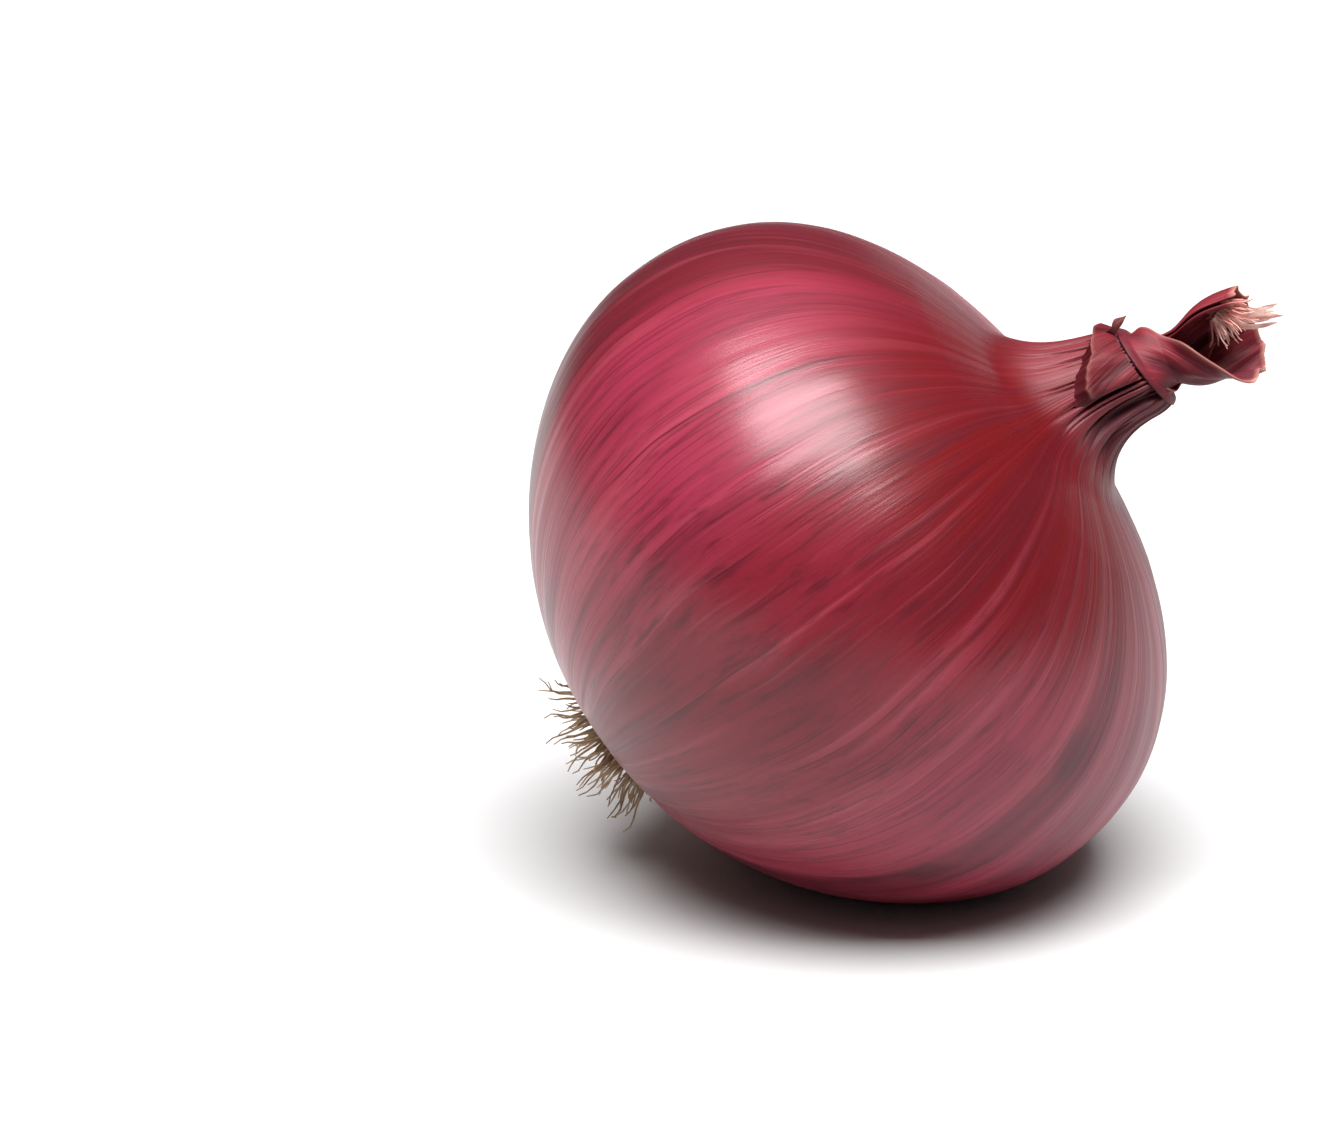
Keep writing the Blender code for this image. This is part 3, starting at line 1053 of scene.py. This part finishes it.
@dataclass
class Sheath:
    """The torn outermost layer on the neck, lifted along its edge like a small tent."""

    bulb: Bulb
    start_deg: float = -215.0
    end_deg: float = -93.0
    edge_deg: tuple[float, ...] = (-215.0, -190.0, -162.0, -133.0, -104.0, -97.0, -93.0)
    edge_height: tuple[float, ...] = (0.0388, 0.0380, 0.0365, 0.0344, 0.0318, 0.0315, 0.0318)
    lift: tuple[float, ...] = (0.0000, 0.0008, 0.0013, 0.0013, 0.0010, 0.0007, 0.0000)
    wall_length: float = 0.0020
    overlap: float = 0.0008
    folds: int = 12
    fold_depth: float = 0.00022
    raggedness: float = 0.00030
    sunk: float = 0.0002
    rise: float = 0.0005
    rows: int = 80
    columns: int = 170

    def mesh(self, look: Material) -> Mesh:
        """Builds the layer.

        Args:
            look: Its material.

        Returns:
            The upright mesh, with the attributes fibre, rim and hollow.
        """
        grid, fibre = np.zeros((2, self.rows, self.columns, 3))
        rim, recess_shade = np.zeros((2, self.rows, self.columns))
        ragged = wander(self.columns, 31, 24) * self.raggedness
        top = self.bulb.pinch_height - self.overlap
        for j in range(self.columns):
            across = j / (self.columns - 1)
            degrees = self.start_deg + (self.end_deg - self.start_deg) * across
            angle = math.radians(degrees)
            edge = float(np.interp(degrees, self.edge_deg, self.edge_height)) + ragged[j]
            lift = float(np.interp(degrees, self.edge_deg, self.lift))
            wall = min(0.45, self.wall_length / (top - edge))
            for i in range(self.rows):
                share = (i / (self.rows - 1)) ** 1.3
                height = edge + (top - edge) * share
                past = max(0.0, (share - wall) / (1 - wall))
                slope = min(1.0, share / wall) ** 1.2 if share < wall else (1 - past) ** 1.1
                fold = math.sin(math.radians(degrees + 97) * self.folds + 2.6 * past)
                fold *= past * (1 - past) * 3
                radius = self.bulb.closing_radius(height) - self.sunk
                radius += self.rise * min(1.0, share / wall)
                radius += lift * slope + self.fold_depth * fold
                middle = self.bulb.sway_at(height)
                grid[i, j] = (middle + radius * math.cos(angle), radius * math.sin(angle), height)
                fibre[i, j] = (across * 1.4 + 0.25 * past, share * 0.6, 40.0)
                # Painted highlight along the ridge of the lifted edge.
                rim[i, j] = 0.16 * swell(share - wall, 0.05) * min(1.0, lift / 0.0010)
                # Painted shade on the steep wall under the lifted edge.
                recess_shade[i, j] = 0.85 * held((wall - share) / (0.15 * wall))
        return leaf(grid_mesh("neck_sheath", grid), look, fibre, rim, recess_shade)


@dataclass
class Strands:
    """A bunch of thin dry strands that grow from a patch, such as roots or frayed fibres."""

    name: str
    strands: int
    patch_radius: float
    length: float
    thickness: float
    spread: float
    curl: float
    seed: int
    scatter: float = 0.35
    shortest: float = 0.45
    taper: float = 0.72
    waviness: float = 260.0
    knots: int = 9
    corners: int = 5

    def mesh(self, look: Material, place: Matrix) -> Mesh:
        """Grows the strands.

        Args:
            look: Their material.
            place: Where the patch is; they grow along its -Z.

        Returns:
            All the strands as one mesh.
        """
        recipe = Recipe(self.name)
        g = recipe.graph
        count, patch, length, thickness, spread, curl, seed = recipe.sizes(
            self, "strands", "patch_radius", "length", "thickness", "spread", "curl", "seed"
        )
        number = g.wire("GeometryNodeInputIndex")
        share = ((number + 0.5) / count).alone("SQRT")
        angle = number * (math.pi * (3 - math.sqrt(5)))
        start = g.vector(angle.alone("COSINE") * share, angle.alone("SINE") * share, 0.0) * patch
        sprouts = g.wire("GeometryNodePoints", None, {"Count": count, "Position": start})
        ends = {"Start": (0.0, 0.0, 0.0), "End": (0.0, 0.0, -1.0)}
        line = g.wire("GeometryNodeCurvePrimitiveLine", None, ends)
        line = g.wire("GeometryNodeResampleCurve", None, {"Curve": line, "Count": self.knots})
        low = (-self.scatter, -self.scatter, 0.0)
        high = (self.scatter, self.scatter, TURN)
        angles = {"Min": low, "Max": high, "Seed": seed}
        turn = g.wire("FunctionNodeRandomValue", {"data_type": "FLOAT_VECTOR"}, angles)
        tilt = g.vector(angle.alone("SINE") * share * -1.0, angle.alone("COSINE") * share, 0.0)
        shares = {"Min": self.shortest, "Max": 1.0, "Seed": seed}
        size = g.wire("FunctionNodeRandomValue", {"data_type": "FLOAT"}, shares)
        lean = tilt * spread * -1.0 + turn * g.vector(1.0, 1.0, 0.0)
        lean = g.wire("FunctionNodeEulerToRotation", None, {0: lean})
        sockets = {"Points": sprouts, "Instance": line, "Rotation": lean, "Scale": size * length}
        copies = g.wire("GeometryNodeInstanceOnPoints", None, sockets)
        copies = g.wire("GeometryNodeRealizeInstances", None, {0: copies})
        along = g.wire("GeometryNodeSplineParameter")
        where = g.wire("GeometryNodeInputPosition")
        sockets = {"Vector": where, "W": seed * 3.7, "Scale": self.waviness, "Detail": 1.0}
        bend = g.wire("ShaderNodeTexNoise", {"noise_dimensions": "4D"}, sockets, 1)
        bent = recipe.move(copies, Offset=(bend - 0.5) * (along * along) * curl)
        corners = {"Resolution": self.corners, "Radius": 1.0}
        ring = g.wire("GeometryNodeCurvePrimitiveCircle", None, corners)
        taper = thickness * (1.0 - along * self.taper)
        sockets = {"Curve": bent, "Profile Curve": ring, "Fill Caps": True, "Scale": taper}
        tubes = g.wire("GeometryNodeCurveToMesh", None, sockets)
        mesh = recipe.build(self.name, tubes, look)
        mesh.transform(place)
        return mesh


@dataclass
class RootEnd:
    """The corky root plate in its dimple, with its tuft of dry roots."""

    bulb: Bulb
    plate_radius: float = 0.0066
    rise: float = 0.0012
    seat: float = 0.0006
    back: float = 0.0022
    pit_depth: float = 0.00022
    rings: int = 26
    sides: int = 96

    def floor_height(self) -> float:
        """Height of the dimple's floor, where the plate sits."""
        return -self.bulb.root_depth + self.bulb.dimple_depth

    def plate(self, look: Material) -> Mesh:
        """The plate: a rough, low mound, closed at its back inside the bulb."""
        turns = np.linspace(0, TURN, self.sides, endpoint=False)
        cosine, sine, base = np.cos(turns), np.sin(turns), self.floor_height()
        rough = 1 + 0.05 * np.sin(5 * turns + 1) + 0.03 * np.sin(13 * turns)
        rows = []
        for share in np.arange(self.rings + 1) / self.rings:
            radius = self.plate_radius * share * rough
            pit = self.pit_depth * np.sin(17 * turns + 9 * share) * math.sin(21 * share)
            mound = self.rise * 1.6 * math.cos(math.pi / 2 * share) ** 0.7
            height = base + self.seat - mound + pit * share
            rows.append(np.stack((radius * cosine, radius * sine, height), 1))
        for share in (0.9, 0.0):
            radius = self.plate_radius * share
            back = np.full(self.sides, base + self.back)
            rows.append(np.stack((radius * cosine, radius * sine, back), 1))
        mesh = grid_mesh("root_plate", np.array(rows), closed=True)
        mesh.materials.append(look)
        return tidy(mesh)

    def roots(self, look: Material) -> Mesh:
        """The tuft of dry roots."""
        strands = Strands(
            "dry_roots",
            strands=120,
            patch_radius=self.plate_radius * 0.86,
            length=0.0074,
            thickness=0.00022,
            spread=0.75,
            curl=0.0055,
            seed=3,
        )
        place = Matrix.Translation((0.0, 0.0, self.floor_height() - self.rise * 0.5))
        return strands.mesh(look, place)


@dataclass
class Studio:
    """A pale floor that falls off to painted grey shade in front, soft light from above and the
    camera.
    """

    target: tuple[float, float, float] = (-0.02708, -0.00126, 0.03444)
    azimuth_deg: float = 5.164
    elevation_deg: float = 16.396
    distance: float = 0.600
    lens_mm: float = 149.32
    floor_size: float = 12.0
    room_glow: float = 0.07
    zenith_glow: float = 0.5
    paper: Colour = (0.55, 0.55, 0.55, 1.0)
    front_shade_grey: Colour = (0.20, 0.20, 0.20, 1.0)
    aim: tuple[float, float, float] = (-0.006, 0.0, 0.04)

    def floor(self) -> None:
        """A wide pale floor just under the onion, which falls off to grey well in front of it: the
        grey is painted shade, so that the onion's near side takes less light from the floor.
        """
        half = self.floor_size / 2
        corners = [[(x, y, 0.0) for x in (-half, half)] for y in (-half, half)]
        mesh = grid_mesh("floor", np.array(corners))
        made, graph = blank("floor_paper")
        _, forward, _ = graph.parts(graph.wire("ShaderNodeTexCoord", None, None, "Object"))
        # Painted shade: the floor turns grey in front.
        tone = graph.tint(forward.ramp(-0.10, -0.30), self.paper, self.front_shade_grey)
        graph.shade({"Base Color": tone, "Roughness": 0.9, "Specular IOR Level": 0.1})
        mesh.materials.append(made)
        placed("floor", mesh)

    def lamp(self, name: str, place: Sequence[float], size: Sequence[float], power: float) -> None:
        """One rectangular soft light that faces the onion.

        Args:
            name: What the light is called.
            place: Where it hangs.
            size: Its width and height.
            power: Its power in watts.
        """
        data = bpy.data.lights.new(name, "AREA")
        data.shape = "RECTANGLE"
        data.size, data.size_y = size
        data.energy = power
        made = placed(name, data)
        made.location = place
        facing = Vector(self.aim) - Vector(place)
        made.rotation_euler = facing.to_track_quat("-Z", "Y").to_euler()

    def lights(self) -> None:
        """The overhead softbox, a weak fill and the pale surroundings."""
        self.lamp("overhead", place=(0.04, -0.43, 1.58), size=(1.45, 1.10), power=77.0)
        self.lamp("back_panel", place=(0.42, 1.35, 0.20), size=(0.55, 0.30), power=0.35)
        world = bpy.data.worlds.new("surroundings")
        world.use_nodes = True
        graph = Graph(world.node_tree)
        world.node_tree.nodes.clear()
        _, _, height = graph.parts(graph.wire("ShaderNodeTexCoord", None, None, "Generated"))
        glow = height.ramp(0.55, 0.95) * self.zenith_glow + self.room_glow
        sockets = {"Color": (1.0, 1.0, 1.0, 1.0), "Strength": glow}
        shade = graph.node("ShaderNodeBackground", None, sockets)
        graph.node("ShaderNodeOutputWorld", None, {"Surface": shade.outputs[0]})
        bpy.context.scene.world = world

    def camera(self) -> None:
        """The camera, at the height and side that the onion is seen from."""
        azimuth, elevation = math.radians(self.azimuth_deg), math.radians(self.elevation_deg)
        level = math.cos(elevation)
        away = (math.sin(azimuth) * level, -math.cos(azimuth) * level, math.sin(elevation))
        data = bpy.data.cameras.new("camera")
        data.lens = self.lens_mm
        data.sensor_width = 36.0
        made = placed("camera", data)
        made.location = Vector(self.target) + Vector(away) * self.distance
        made.rotation_euler = (math.pi / 2 - elevation, 0.0, azimuth)
        bpy.context.scene.camera = made
        bpy.context.scene.view_settings.view_transform = "Standard"


def main() -> None:
    """Builds every piece in order."""
    logging.basicConfig(level=logging.INFO, format="%(name)s %(message)s")
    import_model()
    pose = Pose()
    bulb = Bulb()
    skin_look = SatinSkin().make()
    leaf_look = DryLeaf().make()
    sheath_look = DryLeaf(
        "torn_skin",
        red=(0.125, 0.008, 0.014, 1.0),
        dark=(0.055, 0.003, 0.006, 1.0),
        pink=(0.19, 0.025, 0.033, 1.0),
    ).make()
    fray_pale, fray_deep = (0.95, 0.64, 0.56, 1.0), (0.58, 0.22, 0.19, 1.0)
    fray_look = DryFibre("frayed_leaf", fray_pale, fray_deep).make()
    root_pale, root_deep = (0.50, 0.36, 0.22, 1.0), (0.26, 0.15, 0.08, 1.0)
    root_look = DryFibre("dry_root", root_pale, root_deep).make()
    horn, root_end = Horn(bulb), RootEnd(bulb)
    start, end = np.array((-0.0039, -0.0012, 0.0384)), np.array((-0.0041, -0.0012, 0.0413))
    sliver = TornStrip(start, end, half_width=0.0006, seed=3)
    pieces = (
        ("bulb_skin", bulb.skin(skin_look), Slot.SKIN, "bulb"),
        ("outer_leaf", horn.outer(leaf_look), Slot.LEAF, "withered_leaves"),
        ("inner_leaf", horn.inner(leaf_look), Slot.LEAF),
        ("neck_sheath", Sheath(bulb).mesh(sheath_look), Slot.SKIN),
        ("torn_sliver", TornStrip.joined("torn_sliver", [sliver], leaf_look), Slot.SKIN),
        ("frayed_tips", horn.frays(fray_look), Slot.LEAF),
        ("frayed_strips", horn.strips(fray_look), Slot.LEAF),
        ("root_plate", root_end.plate(root_look), Slot.ROOT, "root_tuft"),
        ("dry_roots", root_end.roots(root_look), Slot.ROOT),
    )
    for name, mesh, slot, *nodes in pieces:
        piece(name, pose.lay(mesh), slot, *nodes)

    studio = Studio()
    studio.floor()
    studio.lights()
    studio.camera()


if __name__ == "__main__":
    main()
